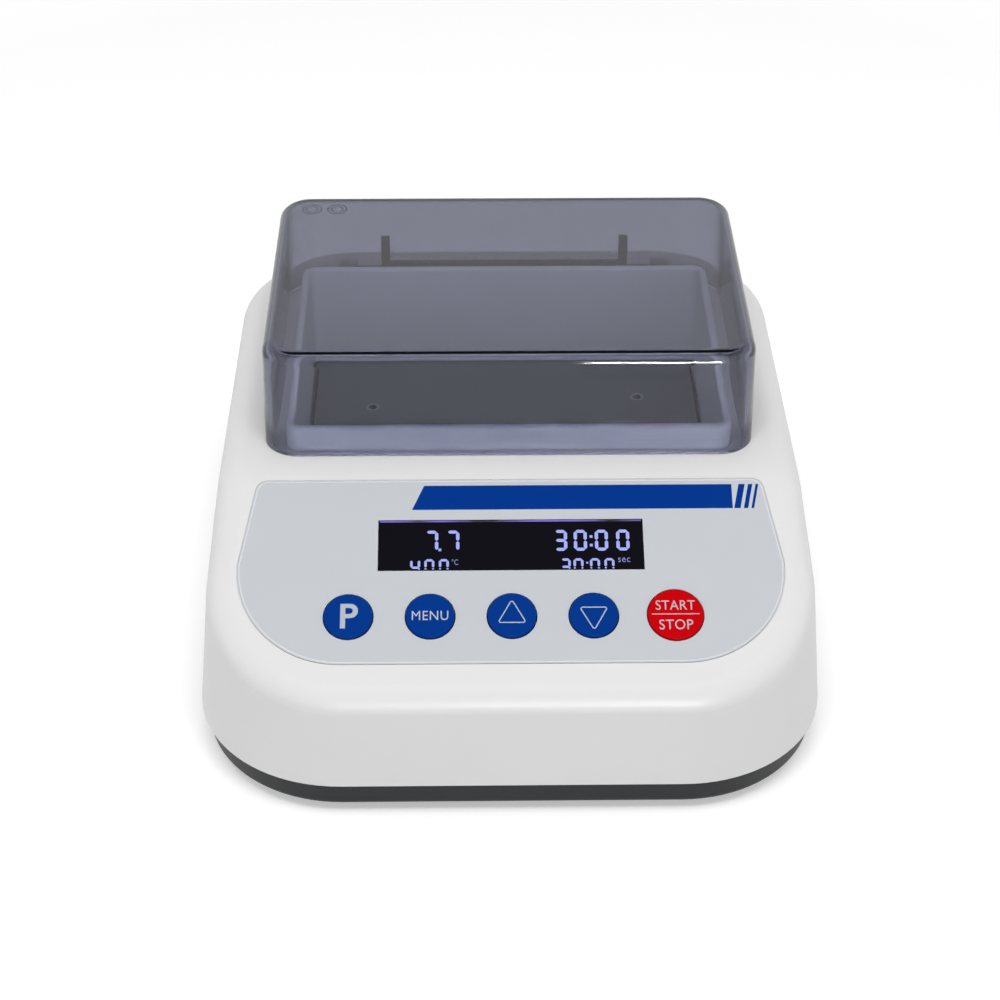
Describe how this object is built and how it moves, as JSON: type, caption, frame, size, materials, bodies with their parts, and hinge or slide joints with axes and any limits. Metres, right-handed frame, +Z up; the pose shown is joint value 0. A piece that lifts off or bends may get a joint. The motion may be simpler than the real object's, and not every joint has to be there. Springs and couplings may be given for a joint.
{
  "type": "dry bath incubator",
  "caption": "Bench-top dry bath incubator: rounded drafted case, sloping key panel with display, heated block well and a smoked hinged lid.",
  "frame": {"origin": "middle of the outline at bench level, under the feet", "axes": "+X to the user's right, +Y to the back, +Z up; the control panel faces -Y"},
  "size_m": [0.191, 0.217, 0.1117],
  "materials": {
    "shell_white": "fine moulded texture, satin",
    "well_plastic": "heat-resistant moulding, satin",
    "base_grey": "fine moulded texture",
    "foot_rubber": "matt",
    "screw_steel": "zinc plated",
    "plate_metal": "dark anodised",
    "ceramic_white": "matt",
    "foam_grey": "closed-cell foam",
    "sink_metal": "extruded",
    "black_plastic": "moulded",
    "contact_metal": "nickel plated",
    "rocker_plastic": "gloss",
    "board_green": "solder mask",
    "component_black": "moulded",
    "overlay_film": "fine-grained printed film",
    "window_black": "tinted, gloss",
    "key_blue": "satin",
    "key_red": "satin",
    "lid_smoke": "smoked, clear, polished",
    "hinge_black": "moulded"
  },
  "bodies": {
    "case": {"upper_shell": "shell_white", "well_frame": "well_plastic", "base_tray": "base_grey", "foot_front_left": "foot_rubber", "foot_front_right": "foot_rubber", "foot_rear_left": "foot_rubber", "foot_rear_right": "foot_rubber", "base_screws": "screw_steel", "frame_screws": "screw_steel", "heating_plate": "plate_metal", "temperature_sensor": "screw_steel", "thermoelectric_left": "ceramic_white", "thermoelectric_right": "ceramic_white", "insulation_sheet": "foam_grey", "insulation_jacket": "foam_grey", "heat_sink": "sink_metal", "sink_screws": "screw_steel", "fan_frame": "black_plastic", "fan_screws": "screw_steel", "power_inlet": "black_plastic", "inlet_contacts": "contact_metal", "switch_housing": "black_plastic", "power_board": "board_green", "power_parts": "component_black", "power_board_screws": "screw_steel", "control_overlay": "overlay_film", "display_window": "window_black", "display_module": "component_black", "control_board": "board_green", "control_board_screws": "screw_steel", "switch_program": "component_black", "switch_menu": "component_black", "switch_up": "component_black", "switch_down": "component_black", "switch_start_stop": "component_black", "hinge_pin": "screw_steel"},
    "lid": {"lid": "lid_smoke", "hinge_bracket": "hinge_black"},
    "rocker": {"power_rocker": "rocker_plastic"},
    "fan_rotor": {"fan_rotor": "black_plastic"},
    "key_program": {"key_program": "key_blue"},
    "key_menu": {"key_menu": "key_blue"},
    "key_up": {"key_up": "key_blue"},
    "key_down": {"key_down": "key_blue"},
    "key_start_stop": {"key_start_stop": "key_red"}
  },
  "joints": [
    {"name": "lid_hinge", "type": "hinge", "parent": "case", "child": "lid", "pos_m": [0, 0.0785, 0.0794], "axis": [-1, 0, 0], "range_deg": [0, 100]},
    {"name": "key_program_press", "type": "slide", "parent": "case", "child": "key_program", "axis": [0, 0.4242, -0.9056], "range_m": [0, 0.0005], "stiffness_N_per_m": 1200, "springref_m": -0.0008},
    {"name": "key_menu_press", "type": "slide", "parent": "case", "child": "key_menu", "axis": [0, 0.4242, -0.9056], "range_m": [0, 0.0005], "stiffness_N_per_m": 1200, "springref_m": -0.0008},
    {"name": "key_up_press", "type": "slide", "parent": "case", "child": "key_up", "axis": [0, 0.4242, -0.9056], "range_m": [0, 0.0005], "stiffness_N_per_m": 1200, "springref_m": -0.0008},
    {"name": "key_down_press", "type": "slide", "parent": "case", "child": "key_down", "axis": [0, 0.4242, -0.9056], "range_m": [0, 0.0005], "stiffness_N_per_m": 1200, "springref_m": -0.0008},
    {"name": "key_start_stop_press", "type": "slide", "parent": "case", "child": "key_start_stop", "axis": [0, 0.4242, -0.9056], "range_m": [0, 0.0005], "stiffness_N_per_m": 1200, "springref_m": -0.0008},
    {"name": "power_switch", "type": "hinge", "parent": "case", "child": "rocker", "pos_m": [0.0415, 0.10237, 0.04168], "axis": [-1, 0, 0], "range_deg": [0, 20]},
    {"name": "fan_spin", "type": "hinge", "parent": "case", "child": "fan_rotor", "pos_m": [-0.02535, 0.09537, 0.04132], "axis": [0, 0.9942, 0.108], "continuous": true}
  ]
}
